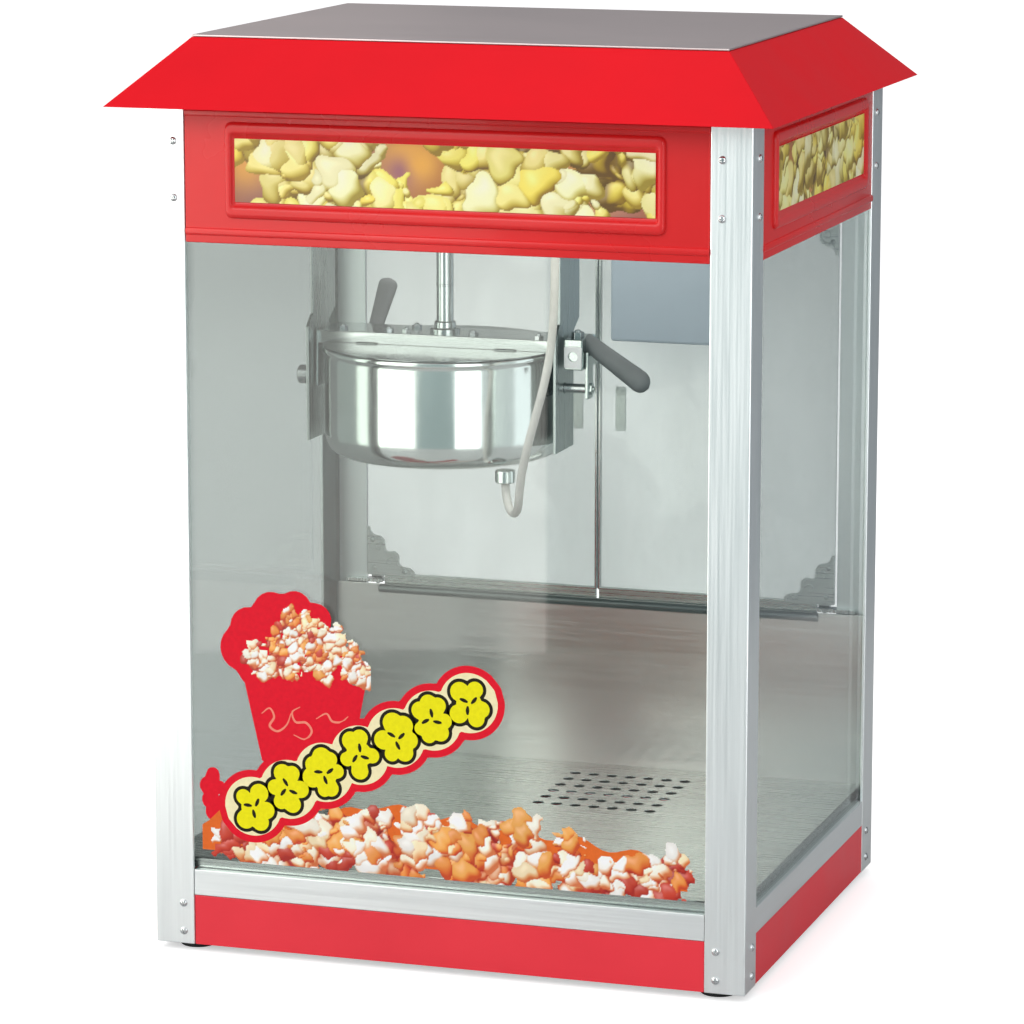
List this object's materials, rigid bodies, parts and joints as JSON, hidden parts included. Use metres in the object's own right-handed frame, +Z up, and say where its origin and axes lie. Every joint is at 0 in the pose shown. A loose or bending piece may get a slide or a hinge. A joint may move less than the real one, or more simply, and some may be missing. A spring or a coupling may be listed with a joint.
{
  "type": "popcorn cart",
  "caption": "Countertop popcorn machine: glazed aluminium cabinet, red roof and base, tilting steel kettle with stirrer, rear doors and crumb drawer.",
  "frame": {"origin": "middle of the footprint, on the surface that the feet stand on", "axes": "+Z up, +X to the right as the customer sees it, +Y towards the operator at the rear"},
  "size_m": [0.558, 0.488, 0.7624],
  "materials": {
    "aluminium": "bright brushed anodised",
    "steel": "brushed stainless sheet",
    "polished_steel": "polished stainless",
    "red_paint": "glossy red powder coat",
    "red_plastic": "glossy red moulded plastic",
    "glass": "clear tempered glass",
    "acrylic": "pale translucent acrylic",
    "print": "printed popcorn picture behind a clear skin",
    "rubber": "matt black rubber",
    "black_plastic": "black moulded plastic",
    "grey_paint": "blue-grey enamel",
    "braid": "pale grey braided sleeve",
    "lamp_glass": "clear lamp glass"
  },
  "bodies": {
    "cabinet": {"post_front_left": "aluminium", "post_front_right": "aluminium", "post_rear_left": "aluminium", "post_rear_right": "aluminium", "rail_front": "aluminium", "rail_right": "aluminium", "rail_rear": "aluminium", "rail_left": "aluminium", "base_pan": "steel", "deck": "steel", "ceiling_deck": "steel", "roof_top": "steel", "lamp_holder": "steel", "hanger_left": "steel", "hanger_right": "steel", "door_bracket_left": "steel", "door_bracket_right": "steel", "back_panel": "polished_steel", "base_panel_front": "red_paint", "base_panel_left": "red_paint", "base_panel_right": "red_paint", "base_panel_rear": "red_paint", "roof_skirt": "red_paint", "header_front": "red_plastic", "header_left": "red_plastic", "header_right": "red_plastic", "header_rear": "red_plastic", "glass_front": "glass", "glass_left": "glass", "glass_right": "glass", "picture_front": "print", "picture_left": "print", "picture_right": "print", "foot_front_left": "rubber", "foot_front_right": "rubber", "foot_rear_left": "rubber", "foot_rear_right": "rubber", "power_inlet": "black_plastic", "lead_gland": "black_plastic", "gear_motor": "grey_paint", "control_box": "grey_paint", "heater_lead": "braid", "lamp_bulb": "lamp_glass"},
    "door_left": {"door_left": "acrylic", "door_plate_left": "polished_steel"},
    "door_right": {"door_right": "acrylic", "door_plate_right": "polished_steel"},
    "kettle": {"kettle_pan": "polished_steel", "heater_boss": "black_plastic", "kettle_bridge": "steel", "tilt_handle": "black_plastic"},
    "lid_front": {"lid_front": "polished_steel"},
    "lid_rear": {"lid_rear": "polished_steel", "lid_lifter": "black_plastic"},
    "stirrer": {"stirrer": "steel"},
    "drive": {"drive_shaft": "steel"},
    "heat_switch": {"heat_switch": "black_plastic"},
    "stir_switch": {"stir_switch": "black_plastic"},
    "light_switch": {"light_switch": "black_plastic"},
    "crumb_drawer": {"crumb_drawer": "steel"}
  },
  "joints": [
    {"name": "door_left_swing", "type": "hinge", "parent": "cabinet", "child": "door_left", "pos_m": [-0.2104, 0.21, 0.24], "axis": [0, 0, 1], "range_deg": [0, 110]},
    {"name": "door_right_swing", "type": "hinge", "parent": "cabinet", "child": "door_right", "pos_m": [0.2104, 0.21, 0.24], "axis": [0, 0, -1], "range_deg": [0, 110]},
    {"name": "kettle_tilt", "type": "hinge", "parent": "cabinet", "child": "kettle", "pos_m": [-0.072, -0.015, 0.46], "axis": [1, 0, 0], "range_deg": [0, 100], "deforming": ["heater_lead"]},
    {"name": "lid_front_flap", "type": "hinge", "parent": "kettle", "child": "lid_front", "pos_m": [-0.072, -0.0264, 0.4908], "axis": [-1, 0, 0], "range_deg": [0, 80]},
    {"name": "lid_rear_flap", "type": "hinge", "parent": "kettle", "child": "lid_rear", "pos_m": [-0.072, 0.0264, 0.4908], "axis": [1, 0, 0], "range_deg": [0, 80]},
    {"name": "drive_spin", "type": "hinge", "parent": "cabinet", "child": "drive", "pos_m": [-0.072, 0, 0.6], "axis": [0, 0, 1], "continuous": true},
    {"name": "stirrer_spin", "type": "hinge", "parent": "kettle", "child": "stirrer", "pos_m": [-0.072, 0, 0.5], "axis": [0, 0, 1], "continuous": true},
    {"name": "heat_switch_rock", "type": "hinge", "parent": "cabinet", "child": "heat_switch", "pos_m": [-0.12, 0.21, 0.652], "axis": [-1, 0, 0], "range_deg": [0, 24]},
    {"name": "stir_switch_rock", "type": "hinge", "parent": "cabinet", "child": "stir_switch", "pos_m": [-0.08, 0.21, 0.652], "axis": [-1, 0, 0], "range_deg": [0, 24]},
    {"name": "light_switch_rock", "type": "hinge", "parent": "cabinet", "child": "light_switch", "pos_m": [-0.04, 0.21, 0.652], "axis": [-1, 0, 0], "range_deg": [0, 24]},
    {"name": "crumb_drawer_slide", "type": "slide", "parent": "cabinet", "child": "crumb_drawer", "axis": [0, 1, 0], "range_m": [0, 0.22]}
  ],
  "couplings": [
    {"joint": "drive_spin", "follows": "stirrer_spin", "ratio": 1}
  ]
}
